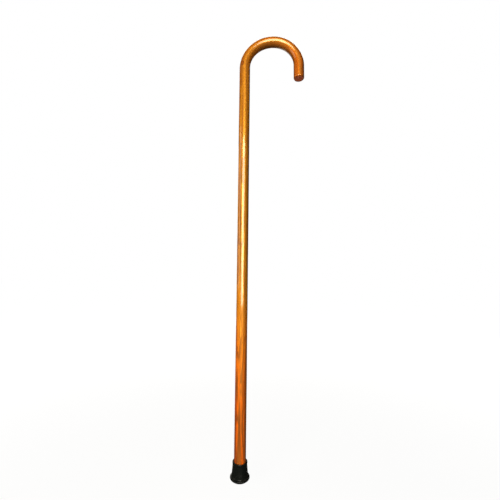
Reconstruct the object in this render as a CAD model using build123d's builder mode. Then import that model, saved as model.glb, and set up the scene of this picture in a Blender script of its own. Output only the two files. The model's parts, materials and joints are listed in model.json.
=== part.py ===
"""Crook-handled walking cane: one steam-bent hardwood stick in a replaceable rubber ferrule.

Frame: millimetres, +Z up, origin on the floor at the middle of the ferrule's sole. The shaft
stands on the Z axis and the crook opens towards +X, in the plane Y = 0.
"""

import os

from build123d import *

# Driving dimensions of the stick
TOTAL_HEIGHT = 914.0  # floor to the top of the crook, 36 in
SHAFT_DIAMETER = 23.0  # straight shaft and nose
CROWN_THICKNESS = 20.2  # in the plane of the bend, where bending has pressed the rod flatter
SHOULDER_RADIUS = 64.0  # centreline, from the shaft up to the crown
NOSE_RADIUS = 55.0  # centreline, from the crown down to the nose
NOSE_STRAIGHT = 31.5  # straight length at the free end of the crook
NOSE_ROUND = 2.0  # rounded rim of the nose
FOOT_CHAMFER = 1.5  # eases the foot into the ferrule

# Driving dimensions of the ferrule
FERRULE_HEIGHT = 31.8
FLANGE_DIAMETER = 37.6
SOLE_DIAMETER = 32.0
NECK_FOOT_DIAMETER = 31.4
NECK_TOP_DIAMETER = 27.6
LIP_DIAMETER = 28.8
FIT_GAP = 0.05  # radial gap of the socket round the shaft

# Driving dimensions of the steel washer in the bottom of the socket
WASHER_DIAMETER = 25.0
WASHER_HOLE_DIAMETER = 7.0
WASHER_THICKNESS = 1.5
WASHER_TOP = 7.0  # height of its upper face above the floor: the stick stands on it

# Flange, neck and lip of the ferrule
SOLE_EDGE_HEIGHT = 1.6
FLANGE_LOW = 2.6
FLANGE_HIGH = 4.4
FLANGE_BEVEL = 0.8
FLARE_WIDTH = 1.2  # hollow corner between the flange's top and the neck
FLARE_LOW = 5.5
FLARE_HIGH = 7.2
LIP_LOW = 28.2
LIP_FLARE = 0.8
LIP_ROUND = 1.2
MOUTH_CHAMFER = 0.6

# Rings moulded into the sole, and relief grooves inside the socket
TREAD_RADII = (5.2, 9.0, 12.8)
TREAD_WIDTH = 1.6
TREAD_DEPTH = 1.8
GRIP_GROOVE_HEIGHTS = (11.5, 17.0, 22.5)
GRIP_GROOVE_WIDTH = 2.4
GRIP_GROOVE_DEPTH = 0.6

# Worked out from the above
SHAFT_RADIUS = SHAFT_DIAMETER / 2
SOCKET_RADIUS = SHAFT_RADIUS + FIT_GAP
SPRING_HEIGHT = TOTAL_HEIGHT - CROWN_THICKNESS / 2 - SHOULDER_RADIUS
FOOT_HEIGHT = WASHER_TOP
WASHER_BOTTOM = WASHER_TOP - WASHER_THICKNESS

os.makedirs("parts", exist_ok=True)


def section_plane(path, share):
    """The plane square to the path, with its X along +Y, so that its Y is in the bend's plane."""
    return Plane(origin=path @ share, x_dir=(0, 1, 0), z_dir=path % share)


# The stick: shaft, crook and nose are one rod
with BuildPart() as cane_stick:
    with BuildSketch(Plane.XY.offset(FOOT_HEIGHT)):
        Circle(SHAFT_RADIUS)
    extrude(amount=SPRING_HEIGHT - FOOT_HEIGHT)

    with BuildLine(Plane.XZ) as shoulder:
        JernArc(start=(0, SPRING_HEIGHT), tangent=(0, 1), radius=SHOULDER_RADIUS, arc_size=-90)
    with BuildSketch(section_plane(shoulder.line, 0)):
        Circle(SHAFT_RADIUS)
    with BuildSketch(section_plane(shoulder.line, 1)):
        Ellipse(SHAFT_RADIUS, CROWN_THICKNESS / 2)
    sweep(path=shoulder.line, multisection=True)

    crown = shoulder.line @ 1
    with BuildLine(Plane.XZ) as nose_bend:
        JernArc(start=(crown.X, crown.Z), tangent=(1, 0), radius=NOSE_RADIUS, arc_size=-90)
    with BuildSketch(section_plane(nose_bend.line, 0)):
        Ellipse(SHAFT_RADIUS, CROWN_THICKNESS / 2)
    with BuildSketch(section_plane(nose_bend.line, 1)):
        Circle(SHAFT_RADIUS)
    sweep(path=nose_bend.line, multisection=True)

    with BuildSketch(section_plane(nose_bend.line, 1)):
        Circle(SHAFT_RADIUS)
    extrude(amount=NOSE_STRAIGHT)

    rims = cane_stick.edges().filter_by(GeomType.CIRCLE)
    nose_height = (nose_bend.line @ 1).Z - NOSE_STRAIGHT
    nose_rim = rims.filter_by_position(Axis.Z, nose_height - 0.1, nose_height + 0.1)
    fillet(nose_rim, NOSE_ROUND)
    chamfer(cane_stick.edges().group_by(Axis.Z)[0], FOOT_CHAMFER)

cane_stick.part.label = "cane_stick"
export_step(cane_stick.part, "parts/cane_stick.step")


# The rubber ferrule: flanged foot, tapering neck and rolled lip, turned about the shaft's axis
with BuildPart() as rubber_ferrule:
    with BuildSketch(Plane.XZ):
        with BuildLine():
            Polyline(
                (0, 0),
                (SOLE_DIAMETER / 2, 0),
                (FLANGE_DIAMETER / 2 - FLANGE_BEVEL, SOLE_EDGE_HEIGHT),
                (FLANGE_DIAMETER / 2, FLANGE_LOW),
                (FLANGE_DIAMETER / 2, FLANGE_HIGH),
                (FLANGE_DIAMETER / 2 - FLANGE_BEVEL, FLANGE_HIGH + FLANGE_BEVEL),
                (NECK_FOOT_DIAMETER / 2 + FLARE_WIDTH, FLARE_LOW),
            )
            flare = ThreePointArc(
                (NECK_FOOT_DIAMETER / 2 + FLARE_WIDTH, FLARE_LOW),
                (NECK_FOOT_DIAMETER / 2 + FLARE_WIDTH / 3, FLARE_LOW + FLARE_WIDTH / 2),
                (NECK_FOOT_DIAMETER / 2, FLARE_HIGH),
            )
            Polyline(
                flare @ 1,
                (NECK_TOP_DIAMETER / 2, LIP_LOW),
                (LIP_DIAMETER / 2, LIP_LOW + LIP_FLARE),
                (LIP_DIAMETER / 2, FERRULE_HEIGHT),
                (0, FERRULE_HEIGHT),
                (0, 0),
            )
        make_face()
    revolve(axis=Axis.Z)

    # Socket for the shaft, its relief grooves and the eased mouth
    with BuildSketch(Plane.XY.offset(WASHER_TOP)):
        Circle(SOCKET_RADIUS)
    extrude(amount=FERRULE_HEIGHT - WASHER_TOP, mode=Mode.SUBTRACT)
    for height in GRIP_GROOVE_HEIGHTS:
        with BuildSketch(Plane.XY.offset(height)):
            Circle(SOCKET_RADIUS + GRIP_GROOVE_DEPTH)
        extrude(amount=GRIP_GROOVE_WIDTH, mode=Mode.SUBTRACT)

    # Undercut seat that holds the washer: rubber fills the washer's hole
    with BuildSketch(Plane.XY.offset(WASHER_BOTTOM)):
        Circle(WASHER_DIAMETER / 2)
        Circle(WASHER_HOLE_DIAMETER / 2, mode=Mode.SUBTRACT)
    extrude(amount=WASHER_THICKNESS, mode=Mode.SUBTRACT)

    # Tread rings in the sole
    for radius in TREAD_RADII:
        with BuildSketch(Plane.XY):
            Circle(radius + TREAD_WIDTH / 2)
            Circle(radius - TREAD_WIDTH / 2, mode=Mode.SUBTRACT)
        extrude(amount=TREAD_DEPTH, mode=Mode.SUBTRACT)

    top_rims = rubber_ferrule.edges().filter_by(GeomType.CIRCLE).group_by(Axis.Z)[-1]
    chamfer(top_rims.sort_by(SortBy.RADIUS)[0], MOUTH_CHAMFER)
    lip_rims = rubber_ferrule.edges().filter_by(GeomType.CIRCLE)
    fillet(lip_rims.filter_by(lambda rim: abs(rim.radius - LIP_DIAMETER / 2) < 0.01), LIP_ROUND)

rubber_ferrule.part.label = "rubber_ferrule"
export_step(rubber_ferrule.part, "parts/rubber_ferrule.step")


# The steel washer that keeps the stick from punching through the rubber
with BuildPart() as ferrule_washer:
    with BuildSketch(Plane.XY.offset(WASHER_BOTTOM)):
        Circle(WASHER_DIAMETER / 2)
        Circle(WASHER_HOLE_DIAMETER / 2, mode=Mode.SUBTRACT)
    extrude(amount=WASHER_THICKNESS)

ferrule_washer.part.label = "ferrule_washer"
export_step(ferrule_washer.part, "parts/ferrule_washer.step")
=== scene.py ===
"""Looks of the crook-handled walking cane: varnished bentwood stick, rubber ferrule, steel washer.

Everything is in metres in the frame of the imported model: +Z up, the shaft on the Z axis, the crook
opening towards +X, the ferrule's sole at Z = 0. The front of the cane faces -Y.
"""

import json
import math
from typing import NamedTuple

import bpy
from mathutils import Matrix, Vector


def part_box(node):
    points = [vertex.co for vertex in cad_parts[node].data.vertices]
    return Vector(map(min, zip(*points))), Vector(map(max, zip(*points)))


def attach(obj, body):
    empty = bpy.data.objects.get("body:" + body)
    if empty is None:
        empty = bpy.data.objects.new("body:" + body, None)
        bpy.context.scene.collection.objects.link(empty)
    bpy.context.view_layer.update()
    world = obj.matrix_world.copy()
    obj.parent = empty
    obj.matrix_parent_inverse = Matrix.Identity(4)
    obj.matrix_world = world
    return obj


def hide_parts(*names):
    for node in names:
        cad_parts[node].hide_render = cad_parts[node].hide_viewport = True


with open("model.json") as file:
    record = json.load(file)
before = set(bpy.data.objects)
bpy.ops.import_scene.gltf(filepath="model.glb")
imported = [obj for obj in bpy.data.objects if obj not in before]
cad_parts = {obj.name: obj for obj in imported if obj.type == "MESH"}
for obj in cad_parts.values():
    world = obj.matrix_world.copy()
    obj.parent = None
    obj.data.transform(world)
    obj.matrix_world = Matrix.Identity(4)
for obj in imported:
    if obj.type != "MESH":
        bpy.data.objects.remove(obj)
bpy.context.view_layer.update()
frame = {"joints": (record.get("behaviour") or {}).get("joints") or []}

MM = 0.001

# The stick, as packed
STICK_LOW, STICK_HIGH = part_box("cane_stick")
SHAFT_RADIUS = STICK_HIGH.y
CROWN_HALF_THICKNESS = 10.1 * MM
SHOULDER_RADIUS = 64 * MM
NOSE_RADIUS = 55 * MM
SPRING_HEIGHT = STICK_HIGH.z - CROWN_HALF_THICKNESS - SHOULDER_RADIUS
NOSE_STRAIGHT = 31.5 * MM
NOSE_ROUND = 2 * MM
FOOT_CHAMFER = 1.5 * MM

# Distances along the stick's centreline, from the foot
SHAFT_END = SPRING_HEIGHT - STICK_LOW.z
CROWN = SHAFT_END + SHOULDER_RADIUS * math.pi / 2
BEND_END = CROWN + NOSE_RADIUS * math.pi / 2
NOSE_END = BEND_END + NOSE_STRAIGHT

# The ferrule and its washer, as packed
FERRULE_LOW, FERRULE_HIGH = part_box("rubber_ferrule")
WASHER_LOW, WASHER_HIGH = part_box("ferrule_washer")
SOCKET_RADIUS = SHAFT_RADIUS + 0.05 * MM
WASHER_HOLE_RADIUS = 3.5 * MM
COVERED_LENGTH = FERRULE_HIGH.z - STICK_LOW.z
PULL_TRAVEL = frame["joints"][0]["range_m"][1]  # how far down the ferrule comes when it is pulled off


# ---------------------------------------------------------------------------------------------
# Shader helpers


def add(tree, kind, inputs=None, **settings):
    """A new node of that kind, with settings, and inputs that are plain values or other sockets."""
    node = tree.nodes.new("ShaderNode" + kind)
    for name, value in settings.items():
        setattr(node, name, value)
    for key, value in (inputs or {}).items():
        if isinstance(value, bpy.types.NodeSocket):
            tree.links.new(value, node.inputs[key])
        else:
            node.inputs[key].default_value = value
    return node


def maths(tree, operation, first, second=0.0, third=0.0, clamp=False):
    node = add(tree, "Math", {0: first, 1: second, 2: third}, operation=operation, use_clamp=clamp)
    return node.outputs[0]


def remap(tree, value, low, high, new_low=0.0, new_high=1.0, smooth=True):
    """value between low and high becomes new_low to new_high, and is held beyond them."""
    kind = "SMOOTHSTEP" if smooth else "LINEAR"
    inputs = {"Value": value, "From Min": low, "From Max": high, "To Min": new_low, "To Max": new_high}
    return add(tree, "MapRange", inputs, interpolation_type=kind).outputs["Result"]


def mix_colour(tree, share, first, second, blend="MIX"):
    node = add(tree, "Mix", data_type="RGBA", blend_type=blend, clamp_factor=True)
    for socket, value in zip((node.inputs[0], node.inputs[6], node.inputs[7]), (share, first, second)):
        if isinstance(value, bpy.types.NodeSocket):
            tree.links.new(value, socket)
        else:
            socket.default_value = value if socket == node.inputs[0] else (*value, 1)
    return node.outputs[2]


def mix_value(tree, share, first, second):
    return add(tree, "Mix", {0: share, 2: first, 3: second}).outputs[0]


def stretch(tree, place, scale):
    return add(tree, "VectorMath", {0: place, 1: scale}, operation="MULTIPLY").outputs[0]


def noise(tree, place, scale=1.0, detail=2.0, roughness=0.5):
    inputs = {"Vector": place, "Scale": scale, "Detail": detail, "Roughness": roughness}
    return add(tree, "TexNoise", inputs).outputs["Fac"]


def cells(tree, place):
    """Outputs of a pattern of cells, one to each unit of the place."""
    return add(tree, "TexVoronoi", {"Vector": place, "Scale": 1.0}).outputs


def mesh_value(tree, name):
    """A value that the mesh carries on its vertices."""
    return add(tree, "Attribute", attribute_name=name).outputs["Fac"]


def emboss(tree, shader, height, strength, depth):
    """Relief too fine for the mesh."""
    bump = add(tree, "Bump", {"Height": height, "Strength": strength, "Distance": depth})
    tree.links.new(bump.outputs[0], shader.inputs["Normal"])


def new_group(name, inputs, outputs):
    """An empty shader node group, with its input and output nodes. Names map to (type, default)."""
    tree = bpy.data.node_groups.new(name, "ShaderNodeTree")
    for label, (kind, default) in inputs.items():
        socket = tree.interface.new_socket(label, in_out="INPUT", socket_type="NodeSocket" + kind)
        if default is not None:
            socket.default_value = default
    for label, kind in outputs.items():
        tree.interface.new_socket(label, in_out="OUTPUT", socket_type="NodeSocket" + kind)
    return tree, tree.nodes.new("NodeGroupInput").outputs, tree.nodes.new("NodeGroupOutput").inputs


def use_group(tree, group, inputs):
    node = tree.nodes.new("ShaderNodeGroup")
    node.node_tree = group
    for label, value in inputs.items():
        if isinstance(value, bpy.types.NodeSocket):
            tree.links.new(value, node.inputs[label])
        else:
            node.inputs[label].default_value = value
    return node.outputs


def new_material(name, **constants):
    """An empty material's tree and its Principled shader, with constants set on its own sockets."""
    material = bpy.data.materials.new(name)
    material.use_nodes = True
    tree = material.node_tree
    shader = tree.nodes["Principled BSDF"]
    for label, value in constants.items():
        shader.inputs[label.replace("_", " ")].default_value = value
    return material, tree, shader


# ---------------------------------------------------------------------------------------------
# Shared effects


# How often each feature of the wood comes in a metre: across the grain both ways, and along it
SWAY_SCALE = (45, 45, 7)
JITTER_SCALE = (330, 330, 26)
STREAK_SCALE = (270, 270, 8)
FIBRE_SCALE = (2400, 2400, 45)
FLECK_SCALE = (560, 560, 95)
PORE_SCALE = (2000, 2000, 170)


def wood_figure_group():
    """Growth rings, stain streaks, fibres, ray flecks and pores of a bent hardwood rod.

    Place is in metres in the straightened rod: X towards the outside of the bend, Z along the
    grain. The pith lies outside the rod and leans across it, so the rings run out as long,
    pointed arches on two sides of the rod and as close lines on the other two.
    """
    tree, given, put = new_group(
        "wood_figure",
        {
            "Place": ("Vector", None),
            "Pith": ("Vector", (-20 * MM, 46 * MM, 0.0)),
            "Ring Spacing": ("Float", 3.4 * MM),
            "Wander": ("Float", 3.0 * MM),
        },
        {"Rings": "Float", "Streaks": "Float", "Fibres": "Float", "Flecks": "Float", "Pores": "Float"},
    )
    place = given["Place"]
    slow = noise(tree, stretch(tree, place, SWAY_SCALE))
    quick = noise(tree, stretch(tree, place, JITTER_SCALE))
    from_pith = add(tree, "VectorMath", {0: place, 1: given["Pith"]}, operation="SUBTRACT")
    flat = stretch(tree, from_pith.outputs[0], (1, 1, 0))
    radius = add(tree, "VectorMath", {0: flat}, operation="LENGTH").outputs["Value"]
    swayed = maths(tree, "MULTIPLY", maths(tree, "SUBTRACT", slow, 0.5), 5.0)
    jitter = maths(tree, "MULTIPLY_ADD", maths(tree, "SUBTRACT", quick, 0.5), 0.7, swayed)
    moved = maths(tree, "MULTIPLY_ADD", jitter, given["Wander"], radius)
    year = maths(tree, "FRACT", maths(tree, "DIVIDE", moved, given["Ring Spacing"]))
    # early wood is pale; late wood darkens slowly and ends sharply
    ripening = remap(tree, year, 0.4, 0.85)
    ending = remap(tree, year, 0.94, 1.0, 1.0, 0.0)
    tree.links.new(maths(tree, "MULTIPLY", ripening, ending), put["Rings"])

    streaks = noise(tree, stretch(tree, place, STREAK_SCALE))
    tree.links.new(remap(tree, streaks, 0.46, 0.62), put["Streaks"])
    fibres = noise(tree, stretch(tree, place, FIBRE_SCALE), detail=3.0, roughness=0.6)
    tree.links.new(fibres, put["Fibres"])

    # about half of the cells hold a fleck
    dashes = cells(tree, stretch(tree, place, FLECK_SCALE))
    fleck = remap(tree, dashes["Distance"], 0.13, 0.24, 1.0, 0.0)
    lot = add(tree, "SeparateColor", {0: dashes["Color"]}).outputs[0]
    tree.links.new(maths(tree, "MULTIPLY", fleck, remap(tree, lot, 0.45, 0.55)), put["Flecks"])

    # pores are wide open in the early wood
    pores = cells(tree, stretch(tree, place, PORE_SCALE))
    opened = remap(tree, pores["Distance"], 0.16, 0.3, 1.0, 0.0)
    early = remap(tree, year, 0.1, 0.45, 1.0, 0.25)
    tree.links.new(maths(tree, "MULTIPLY", opened, early), put["Pores"])
    return tree


def grime_group():
    """Patches of dust or scuffing, for handled surfaces: a mask of soft patches with a fine tooth."""
    tree, given, put = new_group(
        "grime",
        {
            "Place": ("Vector", None),
            "Patch Size": ("Float", 20 * MM),
            "Grit Size": ("Float", 0.8 * MM),
            "Cover": ("Float", 0.5),
        },
        {"Patches": "Float", "Grit": "Float"},
    )
    patch_scale = maths(tree, "DIVIDE", 1.0, given["Patch Size"])
    grit_scale = maths(tree, "DIVIDE", 1.0, given["Grit Size"])
    patches = noise(tree, given["Place"], patch_scale, detail=5.0, roughness=0.62)
    grit = noise(tree, given["Place"], grit_scale, roughness=0.7)
    bare = maths(tree, "SUBTRACT", 1.0, given["Cover"])
    # the noise lies between 0.2 and 0.8, and a patch's edge takes up about a quarter of that
    low = maths(tree, "MULTIPLY_ADD", bare, 0.6, 0.2)
    high = maths(tree, "MULTIPLY_ADD", maths(tree, "ADD", bare, 0.28), 0.6, 0.2)
    spread = remap(tree, patches, low, high)
    tree.links.new(spread, put["Patches"])
    tree.links.new(maths(tree, "MULTIPLY", spread, remap(tree, grit, 0.35, 0.7)), put["Grit"])
    return tree


def worn_edge_group():
    """Mask of the outward corners, broken up so that wear isn't an even line."""
    tree, given, put = new_group(
        "worn_edges",
        {"Place": ("Vector", None), "Chip Size": ("Float", 2 * MM), "Onset": ("Float", 0.53)},
        {"Mask": "Float"},
    )
    corner = add(tree, "NewGeometry").outputs["Pointiness"]
    chip_scale = maths(tree, "DIVIDE", 1.0, given["Chip Size"])
    chips = noise(tree, given["Place"], chip_scale, detail=3.0, roughness=0.6)
    onset = maths(tree, "MULTIPLY_ADD", chips, 0.05, given["Onset"])
    mask = remap(tree, corner, onset, maths(tree, "ADD", onset, 0.05))
    tree.links.new(mask, put["Mask"])
    return tree


WOOD_FIGURE = wood_figure_group()
GRIME = grime_group()
WORN_EDGES = worn_edge_group()


# ---------------------------------------------------------------------------------------------
# Materials

PALE_WOOD = (0.55, 0.205, 0.008)
DARK_RING = (0.13, 0.015, 0.001)
STREAK_STAIN = (0.15, 0.018, 0.001)
RED_STAIN = (0.60, 0.070, 0.001)
# for the mineral streaks, and for the patches of painted shade on the crook
MINERAL_STAIN_AND_SHADE = (0.060, 0.004, 0.001)
KNOT_BROWN = (0.035, 0.003, 0.001)
KNOT_BARK = (0.080, 0.008, 0.001)
KNOT_HEART = (0.22, 0.026, 0.002)
# pale: partly painted light, lighter than the side grain so that the downward-facing nose end shows
# lit
END_GRAIN_PAINTED_LIGHTER = (0.80, 0.17, 0.06)
SOAKED_PORE = (0.02, 0.006, 0.003)
BARE_WOOD = (0.30, 0.20, 0.11)
RUBBER_SMEAR = (0.010, 0.008, 0.007)
BLACK_RUBBER = (0.0025, 0.003, 0.0028)
WORN_RUBBER = (0.012, 0.012, 0.013)
FLOOR_DUST = (0.02, 0.018, 0.016)
ZINC = (0.60, 0.60, 0.61)
RUST = (0.24, 0.10, 0.045)


def rod_place(tree):
    return add(tree, "Attribute", attribute_name="rod_place").outputs["Vector"]


def varnished_wood():
    """Amber-stained hardwood under glossy varnish, worn in use.

    It is redder to the foot and to the end of the crook, and streakier to the foot. The amber
    specular is the silky sheen of the fibres under the varnish; the coat is the varnish.
    """
    material, tree, shader = new_material(
        "varnished_wood",
        Coat_Roughness=0.06,
        Coat_IOR=1.5,
        Coat_Tint=(1.0, 0.93, 0.8, 1.0),
        IOR=1.9,
        Specular_IOR_Level=1.0,
        Specular_Tint=(1.0, 0.52, 0.09, 1.0),
    )
    place = rod_place(tree)
    along = add(tree, "SeparateXYZ", {0: place}).outputs["Z"]
    figure = use_group(tree, WOOD_FIGURE, {"Place": place})
    uneven = maths(tree, "SUBTRACT", noise(tree, place, 900.0, detail=3.0), 0.5)
    knot = maths(tree, "MULTIPLY_ADD", uneven, 0.35, mesh_value(tree, "knot"))
    # mineral streaks, and the patches of painted shade on the crook, are broken up by the fibres that
    # they follow
    grain = remap(tree, figure["Fibres"], 0.3, 0.6, 0.55, 1.0)
    stain_and_shade = maths(tree, "MULTIPLY", mesh_value(tree, "stain_and_shade"), grain)
    foot = remap(tree, along, 400 * MM, 100 * MM)
    crook = remap(tree, along, SHAFT_END - 50 * MM, BEND_END, 0.0, 0.8, smooth=False)

    contrast = maths(tree, "MULTIPLY_ADD", foot, 0.30, 0.68)
    red = maths(tree, "MULTIPLY", maths(tree, "MAXIMUM", foot, crook), 0.8)
    colour = mix_colour(tree, red, PALE_WOOD, RED_STAIN)
    rings = maths(tree, "MULTIPLY", figure["Rings"], contrast)
    colour = mix_colour(tree, rings, colour, DARK_RING)
    streaks = maths(tree, "MULTIPLY", figure["Streaks"], contrast)
    colour = mix_colour(tree, streaks, colour, STREAK_STAIN)
    shade = remap(tree, figure["Fibres"], 0.25, 0.75, 0.58, 1.2, smooth=False)
    fibre = add(tree, "CombineColor", {0: shade, 1: shade, 2: shade}).outputs[0]
    colour = mix_colour(tree, 1.0, colour, fibre, "MULTIPLY")
    colour = mix_colour(tree, maths(tree, "MULTIPLY", figure["Flecks"], 0.75), colour, KNOT_BROWN)
    colour = mix_colour(tree, maths(tree, "MULTIPLY", figure["Pores"], 0.6), colour, KNOT_BROWN)
    # mineral streaks, and broad patches of painted shade on the front of the crook's shoulder, under
    # its crown and inside its nose
    colour = mix_colour(tree, stain_and_shade, colour, MINERAL_STAIN_AND_SHADE)
    # a knot is a reddish heart inside a dark ring of bark
    bark = remap(tree, knot, 0.12, 0.4)
    colour = mix_colour(tree, bark, colour, KNOT_BARK)
    heart = maths(tree, "MULTIPLY", remap(tree, knot, 0.5, 0.8), grain)
    colour = mix_colour(tree, heart, colour, KNOT_HEART)

    # rubber smears and scuffs where the ferrule grips, and just above it
    covered = remap(tree, along, COVERED_LENGTH + 12 * MM, COVERED_LENGTH - 4 * MM)
    scuffs = use_group(tree, GRIME, {"Place": place, "Patch Size": 6 * MM, "Cover": 0.55})
    smear = maths(tree, "MULTIPLY", covered, scuffs["Patches"])
    colour = mix_colour(tree, maths(tree, "MULTIPLY", smear, 0.7), colour, RUBBER_SMEAR)

    worn = use_group(tree, WORN_EDGES, {"Place": place, "Chip Size": 3 * MM})["Mask"]
    colour = mix_colour(tree, maths(tree, "MULTIPLY", worn, 0.45), colour, BARE_WOOD)
    tree.links.new(colour, shader.inputs["Base Color"])

    handling = use_group(tree, GRIME, {"Place": place, "Patch Size": 30 * MM, "Cover": 0.4})
    # dark wood is coarser, so the sheen shows the figure too
    dark = maths(tree, "MAXIMUM", figure["Streaks"], figure["Rings"])
    silk = maths(tree, "MULTIPLY_ADD", dark, 0.22, 0.39)
    # rougher on knots, on the streaks and on the patches of painted shade
    silk = maths(tree, "MULTIPLY_ADD", maths(tree, "MAXIMUM", stain_and_shade, bark), 0.5, silk)
    silk = maths(tree, "MULTIPLY_ADD", remap(tree, figure["Fibres"], 0.3, 0.7), -0.12, silk)
    silk = maths(tree, "MULTIPLY_ADD", handling["Patches"], 0.06, silk)
    tree.links.new(silk, shader.inputs["Roughness"])

    dulled = maths(tree, "MULTIPLY_ADD", smear, 0.8, maths(tree, "MULTIPLY", worn, 0.6))
    # the varnish has sunk into the coarse grain of the streaks; the coat is thinned on the patches of
    # painted shade as well
    dulled = maths(tree, "MULTIPLY_ADD", stain_and_shade, 0.4, dulled)
    tree.links.new(maths(tree, "SUBTRACT", 1.0, dulled, clamp=True), shader.inputs["Coat Weight"])

    raised = maths(tree, "MULTIPLY", figure["Fibres"], 0.5)
    height = maths(tree, "SUBTRACT", raised, figure["Pores"])
    emboss(tree, shader, height, strength=0.2, depth=0.2 * MM)
    return material


def end_grain_painted_lighter():
    """The cut ends of the rod: the colouring has soaked deep into the open pores. Their pale base
    colour is partly painted light, lighter than the side grain so that the downward-facing nose end
    shows lit.
    """
    material, tree, shader = new_material(
        "end_grain_painted_lighter",
        Coat_Weight=0.15,
        Coat_Roughness=0.45,
        Roughness=0.65,
        Specular_IOR_Level=0.25,
    )
    place = rod_place(tree)
    figure = use_group(tree, WOOD_FIGURE, {"Place": place})
    # the pale base is painted light for the nose end, which faces down, away from the lamps
    colour = mix_colour(tree, maths(tree, "MULTIPLY", figure["Rings"], 0.7), END_GRAIN_PAINTED_LIGHTER, KNOT_BROWN)
    colour = mix_colour(tree, maths(tree, "MULTIPLY", figure["Pores"], 0.8), colour, SOAKED_PORE)
    tree.links.new(colour, shader.inputs["Base Color"])
    raised = maths(tree, "MULTIPLY", figure["Rings"], 0.6)
    height = maths(tree, "SUBTRACT", raised, figure["Pores"])
    emboss(tree, shader, height, strength=0.5, depth=0.2 * MM)
    return material


def black_rubber():
    """Moulded black rubber, satin, with floor dust on the flange and a fine moulded tooth."""
    material, tree, shader = new_material("black_rubber", Specular_IOR_Level=0.22)
    place = add(tree, "TexCoord").outputs["Object"]
    height_up = add(tree, "SeparateXYZ", {0: place}).outputs["Z"]
    grime = use_group(tree, GRIME, {"Place": place, "Patch Size": 9 * MM, "Grit Size": 0.5 * MM})
    low_down = remap(tree, height_up, FERRULE_LOW.z + 16 * MM, FERRULE_LOW.z, 0.15, 1.0)
    dust = maths(tree, "MULTIPLY", grime["Patches"], low_down)
    worn = use_group(tree, WORN_EDGES, {"Place": place, "Chip Size": 1 * MM})["Mask"]
    colour = mix_colour(tree, maths(tree, "MULTIPLY", dust, 0.35), BLACK_RUBBER, FLOOR_DUST)
    colour = mix_colour(tree, maths(tree, "MULTIPLY", worn, 0.4), colour, WORN_RUBBER)
    tree.links.new(colour, shader.inputs["Base Color"])
    tree.links.new(maths(tree, "MULTIPLY_ADD", dust, 0.25, 0.27), shader.inputs["Roughness"])
    tooth = noise(tree, place, 2600.0, roughness=0.6)
    height = maths(tree, "MULTIPLY_ADD", grime["Grit"], 0.6, tooth)
    emboss(tree, shader, height, strength=0.25, depth=0.1 * MM)
    return material


def plated_steel():
    """Zinc-plated sheet steel, dulled, with rust starting from the stamped edges."""
    material, tree, shader = new_material("plated_steel", Metallic=1.0)
    place = add(tree, "TexCoord").outputs["Object"]
    grime_sizes = {"Patch Size": 4 * MM, "Grit Size": 0.4 * MM, "Cover": 0.45}
    grime = use_group(tree, GRIME, {"Place": place, **grime_sizes})
    worn = use_group(tree, WORN_EDGES, {"Place": place, "Chip Size": 1.2 * MM, "Onset": 0.52})["Mask"]
    film = maths(tree, "MULTIPLY", grime["Patches"], 0.25)
    rust = maths(tree, "MAXIMUM", maths(tree, "MULTIPLY", worn, 0.7), film)
    colour = mix_colour(tree, rust, ZINC, RUST)
    tree.links.new(colour, shader.inputs["Base Color"])
    tree.links.new(maths(tree, "MULTIPLY_ADD", rust, 0.45, 0.28), shader.inputs["Roughness"])
    tree.links.new(maths(tree, "SUBTRACT", 1.0, rust), shader.inputs["Metallic"])
    emboss(tree, shader, grime["Grit"], strength=0.2, depth=0.1 * MM)
    return material


# ---------------------------------------------------------------------------------------------
# Meshes


def new_piece(name, vertices, faces, materials, body, node):
    """A smooth mesh object that replaces a CAD node, rides on its body and takes its finish."""
    mesh = bpy.data.meshes.new(name)
    mesh.from_pydata(vertices, [], faces)
    mesh.shade_smooth()
    for material in materials:
        mesh.materials.append(material)
    piece = bpy.data.objects.new(name, mesh)
    bpy.context.scene.collection.objects.link(piece)
    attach(piece, body)
    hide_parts(node)
    return piece


AROUND = 96  # sides of every round piece


def ring_faces(rings):
    """Quads between each ring of vertices and the next."""
    return [
        (
            ring * AROUND + i,
            ring * AROUND + (i + 1) % AROUND,
            (ring + 1) * AROUND + (i + 1) % AROUND,
            (ring + 1) * AROUND + i,
        )
        for ring in range(rings - 1)
        for i in range(AROUND)
    ]


class Mark(NamedTuple):
    """A knot, a streak, a patch of painted shade or a dent of the stick, strongest in its middle and
    fading out round it.
    """

    along: float  # distance from the foot
    degrees: float  # round the stick: 0 is the outside of the bend, -90 the front and 90 the back
    half_length: float
    half_width: float
    strength: float  # how far it stands out of the skin, or how dark a streak or a patch of painted shade is


KNOTS = (
    Mark(SHAFT_END + 5 * MM, -64, 4.4 * MM, 2.8 * MM, 0.22 * MM),
    Mark(512 * MM, 148, 5.0 * MM, 2.4 * MM, 0.20 * MM),
    Mark(236 * MM, 35, 4.0 * MM, 2.2 * MM, 0.18 * MM),
)
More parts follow.
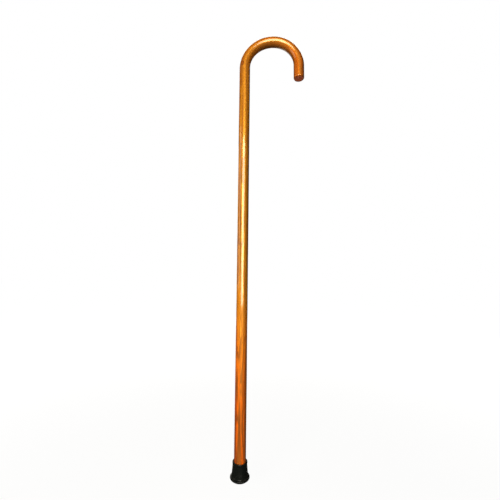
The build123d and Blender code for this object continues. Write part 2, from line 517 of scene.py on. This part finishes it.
# Dark mineral streaks in the wood: up the front, round the crook, and then round the back; and broad
# patches of painted shade on the front of the crook's shoulder, under its crown and inside its nose
STAINS_AND_SHADE = (
    Mark(60 * MM, -66, 36 * MM, 1.0 * MM, 0.6),
    Mark(80 * MM, -80, 52 * MM, 2.0 * MM, 1.0),
    Mark(95 * MM, -146, 95 * MM, 3.6 * MM, 0.85),
    Mark(155 * MM, -93, 9 * MM, 1.6 * MM, 1.0),
    Mark(168 * MM, -52, 22 * MM, 2.0 * MM, 0.7),
    Mark(300 * MM, -118, 60 * MM, 1.2 * MM, 0.5),
    Mark(400 * MM, -46, 130 * MM, 6.0 * MM, 0.28),
    Mark(503 * MM, -66, 80 * MM, 1.6 * MM, 1.0),
    Mark(553 * MM, -142, 110 * MM, 2.6 * MM, 0.6),
    Mark(741 * MM, -44, 50 * MM, 1.2 * MM, 0.5),
    # painted shade: a broad dark patch on the front and outside of the shoulder
    Mark(SHAFT_END + 14 * MM, -35, 38 * MM, 13.0 * MM, 0.5),
    Mark(930 * MM, -35, 45 * MM, 1.5 * MM, 0.5),
    # painted shade: a broad dark patch under the crown
    Mark(CROWN, 165, 80 * MM, 9.0 * MM, 0.75),
    # painted shade: a broad dark patch inside the bend of the nose
    Mark(BEND_END, -172, 60 * MM, 5.5 * MM, 0.85),
    Mark(150 * MM, 110, 70 * MM, 1.8 * MM, 0.6),
    Mark(420 * MM, 75, 90 * MM, 1.4 * MM, 0.7),
    Mark(690 * MM, 130, 60 * MM, 1.2 * MM, 0.6),
    Mark(1020 * MM, 150, 40 * MM, 1.4 * MM, 0.6),
)
DENTS = (
    Mark(61 * MM, -120, 3.5 * MM, 1.6 * MM, -0.16 * MM),
    Mark(118 * MM, -40, 5.0 * MM, 1.4 * MM, -0.13 * MM),
    Mark(205 * MM, 160, 4.0 * MM, 1.5 * MM, -0.14 * MM),
    Mark(667 * MM, 80, 3.0 * MM, 1.3 * MM, -0.10 * MM),
)
GRAIN_PARTING = 0.25  # how far the grain goes round a knot
CAP_SHARES = (0.8, 0.6, 0.4, 0.2, 0.04)  # of a cut end's radius, for the rings of vertices in it
CHAMFER_STEPS = 3
ROUND_STEPS = 8
WAVE_DEPTH = 0.09 * MM  # of the sander's faint waves along the stick
SHORT_WAVE = 97  # radians per metre
LONG_WAVE = 41


def bend_angle(along):
    """How far the centreline has turned from straight up, in radians."""
    if along <= SHAFT_END:
        return 0.0
    if along <= CROWN:
        return (along - SHAFT_END) / SHOULDER_RADIUS
    return min(math.pi, math.pi / 2 + (along - CROWN) / NOSE_RADIUS)


def centreline(along):
    """The point of the centreline at that distance from the foot."""
    if along <= SHAFT_END:
        return Vector((0, 0, STICK_LOW.z + along))
    turned = bend_angle(along)
    outward = Vector((-math.cos(turned), 0, math.sin(turned)))
    if along <= CROWN:
        return Vector((SHOULDER_RADIUS, 0, SPRING_HEIGHT)) + SHOULDER_RADIUS * outward
    centre = Vector((SHOULDER_RADIUS, 0, SPRING_HEIGHT + SHOULDER_RADIUS - NOSE_RADIUS))
    straight = max(0.0, along - BEND_END)
    return centre + NOSE_RADIUS * outward - Vector((0, 0, straight))


def half_thickness(along):
    """Half the rod's thickness in the plane of the bend: bending has pressed it flatter."""
    flat = math.sin(bend_angle(along)) if SHAFT_END < along < BEND_END else 0.0
    return SHAFT_RADIUS - (SHAFT_RADIUS - CROWN_HALF_THICKNESS) * flat


def spot(along, angle, mark):
    """1 in the middle of a mark, fading to 0 round it."""
    away = (along - mark.along) / mark.half_length
    across = math.remainder(angle - math.radians(mark.degrees), math.tau) * SHAFT_RADIUS
    return math.exp(-(away**2) - (across / mark.half_width) ** 2)


def marked(along, angle, marks):
    """The strength of those marks together, at that place on the stick."""
    return sum(mark.strength * spot(along, angle, mark) for mark in marks)


def relief(along, angle):
    """Height of the stick's skin over the true rod: faint waves, knots and dents."""
    short = math.sin(along * SHORT_WAVE + 2.1 * math.sin(angle))
    long = math.sin(along * LONG_WAVE + 1.3 + angle)
    wave = -WAVE_DEPTH * (0.5 + 0.25 * (short + long))
    return wave + marked(along, angle, KNOTS + DENTS)


def stick_stations():
    """(distance along, inset of the skin) of each ring of vertices, from the foot to the nose."""
    for step in range(CHAMFER_STEPS + 1):
        share = step / CHAMFER_STEPS
        yield share * FOOT_CHAMFER, (1 - share) * FOOT_CHAMFER
    round_start = NOSE_END - NOSE_ROUND
    shaft = (FOOT_CHAMFER, SHAFT_END, 280)
    bend = (SHAFT_END, BEND_END, 84)
    nose = (BEND_END, round_start, 10)
    for low, high, steps in (shaft, bend, nose):
        for step in range(1, steps + 1):
            yield low + (high - low) * step / steps, 0.0
    for step in range(1, ROUND_STEPS + 1):
        turn = math.pi / 2 * step / ROUND_STEPS
        yield round_start + NOSE_ROUND * math.sin(turn), NOSE_ROUND * (1 - math.cos(turn))


def make_stick(side_material, end_material):
    """The bent rod, with straightened coordinates on every vertex so that its grain follows it."""
    vertices, places, knots, stains_and_shade = [], [], [], []

    def add_ring(along, inset, skin=1.0):
        centre, turned = centreline(along), bend_angle(along)
        outward = Vector((-math.cos(turned), 0, math.sin(turned)))
        across = Vector((0, 1, 0))
        for i in range(AROUND):
            angle = math.tau * i / AROUND
            lift = relief(along, angle) * skin - inset
            u = (half_thickness(along) + lift) * math.cos(angle)
            v = (SHAFT_RADIUS + lift) * math.sin(angle)
            vertices.append(centre + outward * u + across * v)
            knot = sum(spot(along, angle, mark) for mark in KNOTS)
            parted = 1 + GRAIN_PARTING * knot
            places.append((u * parted, v * parted, along))
            knots.append(min(1.0, knot))
            stains_and_shade.append(min(1.0, marked(along, angle, STAINS_AND_SHADE)))

    def add_cap(along, rim_inset, shares):
        """Rings across a cut end, each of a share of its rim's radius."""
        for share in shares:
            add_ring(along, SHAFT_RADIUS - (SHAFT_RADIUS - rim_inset) * share, share)

    stations = list(stick_stations())
    add_cap(0.0, FOOT_CHAMFER, reversed(CAP_SHARES))
    for along, inset in stations:
        add_ring(along, inset)
    add_cap(NOSE_END, NOSE_ROUND, CAP_SHARES)

    cap_rings = len(CAP_SHARES)
    rings = len(stations) + 2 * cap_rings
    faces = ring_faces(rings)
    faces.append(tuple(reversed(range(AROUND))))
    faces.append(tuple(range((rings - 1) * AROUND, rings * AROUND)))
    materials = (side_material, end_material)
    stick = new_piece("stick", vertices, faces, materials, "stick", "cane_stick")

    mesh = stick.data
    mesh.attributes.new("rod_place", "FLOAT_VECTOR", "POINT").data.foreach_set(
        "vector", [number for place in places for number in place]
    )
    mesh.attributes.new("knot", "FLOAT", "POINT").data.foreach_set("value", knots)
    mesh.attributes.new("stain_and_shade", "FLOAT", "POINT").data.foreach_set("value", stains_and_shade)
    for face in mesh.polygons:
        ring = face.vertices[0] // AROUND
        face.material_index = int(ring < cap_rings or ring >= rings - cap_rings - 1)


CORNER_STEPS = 5


def round_corners(outline):
    """(radius, height, rounding) corners of an open outline, as points with the corners rounded."""
    points = []
    for i, (r, z, rounding) in enumerate(outline):
        corner = Vector((r, z))
        if rounding == 0 or i in (0, len(outline) - 1):
            points.append(corner)
            continue
        before, after = Vector(outline[i - 1][:2]), Vector(outline[i + 1][:2])
        into, out = (before - corner).normalized(), (after - corner).normalized()
        half = into.angle(out) / 2
        # no rounding takes more than half of the shorter side
        shorter = min((before - corner).length, (after - corner).length)
        reach = min(rounding / math.tan(half), 0.49 * shorter)
        first, last = corner + into * reach, corner + out * reach
        for step in range(CORNER_STEPS + 1):
            t = step / CORNER_STEPS
            points.append(first * (1 - t) ** 2 + corner * 2 * t * (1 - t) + last * t**2)
    return points


def turned_rings(points, skin=None):
    """A ring of vertices for each point, standing out from it by skin(point, angle) if given."""
    vertices = []
    for point in points:
        for i in range(AROUND):
            angle = math.tau * i / AROUND
            radius = point.x + (skin(point, angle) if skin else 0.0)
            vertices.append((radius * math.cos(angle), radius * math.sin(angle), point.y))
    return vertices


def lathe(outline, skin):
    """Vertices and faces of an outline turned about the Z axis. Its ends lie on the axis."""
    rings = outline[1:-1]
    vertices = turned_rings(rings, skin)
    faces = ring_faces(len(rings))
    for end, ring in ((outline[0], 0), (outline[-1], len(rings) - 1)):
        vertices.append((0, 0, end.y))
        middle = len(vertices) - 1
        for i in range(AROUND):
            a, b = ring * AROUND + i, ring * AROUND + (i + 1) % AROUND
            faces.append((b, a, middle) if ring == 0 else (a, b, middle))
    return vertices, faces


SOLE_RADIUS = 16.0 * MM
SOLE_EDGE_HEIGHT = 1.6 * MM
FLANGE_RADIUS = FERRULE_HIGH.x
FLANGE_LOW = 2.6 * MM
FLANGE_HIGH = 4.6 * MM
FLANGE_TOP = 5.2 * MM  # above its bevel
NECK_FOOT_RADIUS = 15.9 * MM
NECK_TOP_RADIUS = 13.85 * MM
NECK_LOW = 5.6 * MM
NECK_HIGH = 28.1 * MM
LIP_RADIUS = 14.4 * MM
LIP_LOW = 28.9 * MM
MOUTH_EASE = 0.7 * MM  # opens the socket's mouth
TREAD_RADII = (5.2, 9.0, 12.8)  # mm, rings moulded into the sole
TREAD_HALF_WIDTH = 0.8  # mm
TREAD_DEPTH = 1.8 * MM
TREAD_DRAFT = 0.1 * MM
GROOVE_LOWS = (22.5, 17.0, 11.5)  # mm, lower edges of the socket's relief grooves, from the mouth down
GROOVE_WIDTH = 2.4  # mm
GROOVE_DEPTH = 0.6 * MM
SEAM_ANGLE = math.radians(-72)  # where the two halves of the mould met, and opposite
SEAM_HALF_WIDTH = math.radians(1.6)
SEAM_RISE = 0.16 * MM


def make_ferrule(material):
    """The slip-on ferrule: ringed sole, rounded flange, flared neck, rolled lip, ribbed socket."""
    top = FERRULE_HIGH.z
    # (radius, height, rounding) of each corner: across the sole, up the outside, down the socket
    outline = [(0, 0, 0)]
    for middle in TREAD_RADII:
        low, high = (middle - TREAD_HALF_WIDTH) * MM, (middle + TREAD_HALF_WIDTH) * MM
        outline += [(low, 0, 0.25 * MM), (low + TREAD_DRAFT, TREAD_DEPTH, 0.3 * MM)]
        outline += [(high - TREAD_DRAFT, TREAD_DEPTH, 0.3 * MM), (high, 0, 0.25 * MM)]
    outline += [
        (SOLE_RADIUS, 0, 0.5 * MM),
        (FLANGE_RADIUS - 0.8 * MM, SOLE_EDGE_HEIGHT, 1.0 * MM),
        (FLANGE_RADIUS, FLANGE_LOW, 0.7 * MM),
        (FLANGE_RADIUS, FLANGE_HIGH, 0.7 * MM),
        (FLANGE_RADIUS - 0.7 * MM, FLANGE_TOP, 0.8 * MM),
        (NECK_FOOT_RADIUS, NECK_LOW, 1.3 * MM),
        (NECK_TOP_RADIUS, NECK_HIGH, 0.8 * MM),
        (LIP_RADIUS, LIP_LOW, 0.6 * MM),
        (LIP_RADIUS, top, 1.25 * MM),
        (SOCKET_RADIUS + MOUTH_EASE, top, 0.4 * MM),
        (SOCKET_RADIUS, top - MOUTH_EASE, 0.3 * MM),
    ]
    bottom_of_groove = SOCKET_RADIUS + GROOVE_DEPTH
    for groove in GROOVE_LOWS:
        low, high = groove * MM, (groove + GROOVE_WIDTH) * MM
        outline += [(SOCKET_RADIUS, high, 0.1 * MM), (bottom_of_groove, high, 0.2 * MM)]
        outline += [(bottom_of_groove, low, 0.2 * MM), (SOCKET_RADIUS, low, 0.1 * MM)]
    # the undercut seat that holds the washer, and the rubber that fills the washer's hole
    seat = WASHER_HIGH.x
    outline += [
        (SOCKET_RADIUS, WASHER_HIGH.z, 0.05 * MM),
        (seat, WASHER_HIGH.z, 0.05 * MM),
        (seat, WASHER_LOW.z, 0.1 * MM),
        (WASHER_HOLE_RADIUS, WASHER_LOW.z, 0.1 * MM),
        (WASHER_HOLE_RADIUS, WASHER_HIGH.z, 0.3 * MM),
        (0, WASHER_HIGH.z, 0),
    ]

    def seam(point, angle):
        """A thin raised line up the outside, from the flange to the lip."""
        outside = point.x > SOCKET_RADIUS + 1.5 * MM and 5.0 * MM < point.y < top - 0.5 * MM
        gap = abs(math.remainder(angle - SEAM_ANGLE, math.pi))
        return SEAM_RISE * max(0.0, 1 - gap / SEAM_HALF_WIDTH) if outside else 0.0

    vertices, faces = lathe(round_corners(outline), seam)
    new_piece("ferrule", vertices, faces, (material,), "ferrule", "rubber_ferrule")


def make_washer(material):
    """A stamped washer: rolled over on its upper edges, with a faint burr below."""
    gap = 0.02 * MM
    burr, rolled = 0.1 * MM, 0.35 * MM
    low, high = WASHER_LOW.z + gap, WASHER_HIGH.z - gap
    hole, rim = WASHER_HOLE_RADIUS + gap, WASHER_HIGH.x - gap
    corners = [(hole, low, burr), (rim, low, burr), (rim, high, rolled), (hole, high, rolled)]
    # the outline is a loop, so a corner from its other end is put before it and after it
    points = round_corners([corners[-1], *corners, corners[0]])[1:-1]
    vertices = turned_rings(points)
    faces = ring_faces(len(points))
    last = (len(points) - 1) * AROUND
    for i in range(AROUND):
        j = (i + 1) % AROUND
        faces.append((last + i, last + j, j, i))
    new_piece("washer", vertices, faces, (material,), "ferrule", "ferrule_washer")


# ---------------------------------------------------------------------------------------------
# Stage, light and camera

WHITE = (1, 1, 1, 1)
WARM = (1.0, 0.95, 0.8)
FLOOR_SIZE = 60
FLOOR_GREY = (0.04, 0.04, 0.04, 1)
FLOOR_GLOW = 0.93  # close to the cane
FADE_START, FADE_END = 0.2, 1.5  # distances from the cane between which the floor turns white
FLOOR_BOUNCE = 0.13  # how much of its glow lights the cane from below
FLOOR_REFLECTED = 0.01  # how much of it shows in reflections
WORLD_REFLECTED = 0.012


def make_floor():
    """A plain pale floor that fades to white far off, and is seen from above only.

    Most of its white is its own, so that the lamps leave no pools on it, only a faint shadow. It
    lies as far down as the ferrule comes when it is pulled off, so that the ferrule shows then too.
    """
    bpy.ops.mesh.primitive_plane_add(size=FLOOR_SIZE, location=(0, 0, -PULL_TRAVEL))
    floor = bpy.context.object
    floor.name = "floor"
    material, tree, shader = new_material("pale_floor", Roughness=1.0, Specular_IOR_Level=0.0)
    shader.inputs["Base Color"].default_value = FLOOR_GREY
    shader.inputs["Emission Color"].default_value = WHITE
    place = add(tree, "TexCoord").outputs["Object"]
    reach = add(tree, "VectorMath", {0: place}, operation="LENGTH").outputs["Value"]
    # it is white to look at, dimmer in reflections, and gives a soft bounce from below
    ray = add(tree, "LightPath").outputs
    bounce = maths(tree, "MULTIPLY_ADD", ray["Is Diffuse Ray"], FLOOR_BOUNCE, FLOOR_REFLECTED)
    seen = remap(tree, reach, FADE_START, FADE_END, FLOOR_GLOW, 1.0)
    glow = mix_value(tree, ray["Is Camera Ray"], bounce, seen)
    tree.links.new(glow, shader.inputs["Emission Strength"])
    back = add(tree, "NewGeometry").outputs["Backfacing"]
    clear = add(tree, "BsdfTransparent").outputs[0]
    both = add(tree, "MixShader", {0: back, 1: shader.outputs[0], 2: clear})
    tree.links.new(both.outputs[0], tree.nodes["Material Output"].inputs["Surface"])
    floor.data.materials.append(material)


def make_lamp(
    name, azimuth, height, distance, size, radiance, aim=None, hidden_from=None, spread=180
):
    """A rectangular softbox. Azimuth 0 is in front of the cane, at -Y, and 90 is to its right.

    It faces the cane's axis at the height of its aim, or else level. A lamp hidden from
    reflections only lights the cane, and one hidden from diffuse only shows in the varnish.
    """
    data = bpy.data.lights.new(name, "AREA")
    data.shape = "RECTANGLE"
    data.size, data.size_y = size
    data.energy = radiance * math.pi * data.size * data.size_y
    data.color = WARM
    data.spread = math.radians(spread)
    lamp = bpy.data.objects.new(name, data)
    bpy.context.scene.collection.objects.link(lamp)
    turn = math.radians(azimuth)
    place = Vector((distance * math.sin(turn), -distance * math.cos(turn), height))
    target = Vector((0, 0, height if aim is None else aim))
    lamp.location = place
    lamp.rotation_euler = (target - place).to_track_quat("-Z", "Y").to_euler()
    lamp.visible_camera = False
    lamp.visible_glossy = hidden_from != "reflections"
    lamp.visible_diffuse = hidden_from != "diffuse"


def make_lamps():
    """Softly lit from the front left, with a tall softbox in front to shine in the varnish."""
    make_lamp(
        "key", -24, height=0.85, distance=2.4, size=(1.2, 1.0), radiance=26.0,
        aim=0.6, hidden_from="reflections",
    )
    # a small one for the foot
    make_lamp(
        "low_key", -16, height=0.25, distance=0.62, size=(0.5, 0.3), radiance=2.3,
        aim=0.06, hidden_from="reflections", spread=85,
    )
    make_lamp(
        "front_softbox", 1, height=0.93, distance=2.0, size=(1.6, 1.56), radiance=11.0,
        hidden_from="diffuse",
    )
    make_lamp("left_wall", -76, height=1.05, distance=2.0, size=(1.5, 1.5), radiance=1.9)
    make_lamp("upper_back", 167, height=2.1, distance=0.9, size=(1.3, 0.6), radiance=3.5, aim=0.7)
    make_lamp("left_back_wall", -163, height=0.8, distance=2.2, size=(1.2, 1.8), radiance=1.6)
    # the cane's right side and back are lit too
    make_lamp(
        "right_fill", 138, height=0.9, distance=2.4, size=(1.2, 1.6), radiance=5.0,
        aim=0.5, hidden_from="reflections",
    )
    make_lamp(
        "back_fill", -168, height=1.1, distance=2.6, size=(1.4, 1.6), radiance=5.0,
        aim=0.5, hidden_from="reflections",
    )


def make_world():
    """White behind the object; dim grey where the object reflects it or is lit by it."""
    world = bpy.data.worlds.new("studio")
    bpy.context.scene.world = world
    world.use_nodes = True
    tree = world.node_tree
    seen = add(tree, "LightPath").outputs["Is Camera Ray"]
    strength = mix_value(tree, seen, WORLD_REFLECTED, 1.0)
    background = tree.nodes["Background"]
    background.inputs["Color"].default_value = WHITE
    tree.links.new(strength, background.inputs["Strength"])


CAMERA_PLACE = (15.27 * MM, -600 * MM, 375.5 * MM)
CAMERA_PITCH = 0.1041  # radians up from level
CAMERA_ROLL = 0.0099  # radians
CAMERA_LENS = 21.07  # mm
SENSOR_WIDTH = 36  # mm


def make_camera():
    data = bpy.data.cameras.new("camera")
    data.lens = CAMERA_LENS
    data.sensor_width = SENSOR_WIDTH
    camera = bpy.data.objects.new("camera", data)
    bpy.context.scene.collection.objects.link(camera)
    level = Matrix.Rotation(math.pi / 2 + CAMERA_PITCH, 4, "X")
    rolled = Matrix.Rotation(CAMERA_ROLL, 4, "Z")
    camera.matrix_world = Matrix.Translation(CAMERA_PLACE) @ level @ rolled
    bpy.context.scene.camera = camera


make_stick(varnished_wood(), end_grain_painted_lighter())
make_ferrule(black_rubber())
make_washer(plated_steel())
make_floor()
make_lamps()
make_world()
make_camera()
bpy.context.scene.view_settings.view_transform = "Standard"
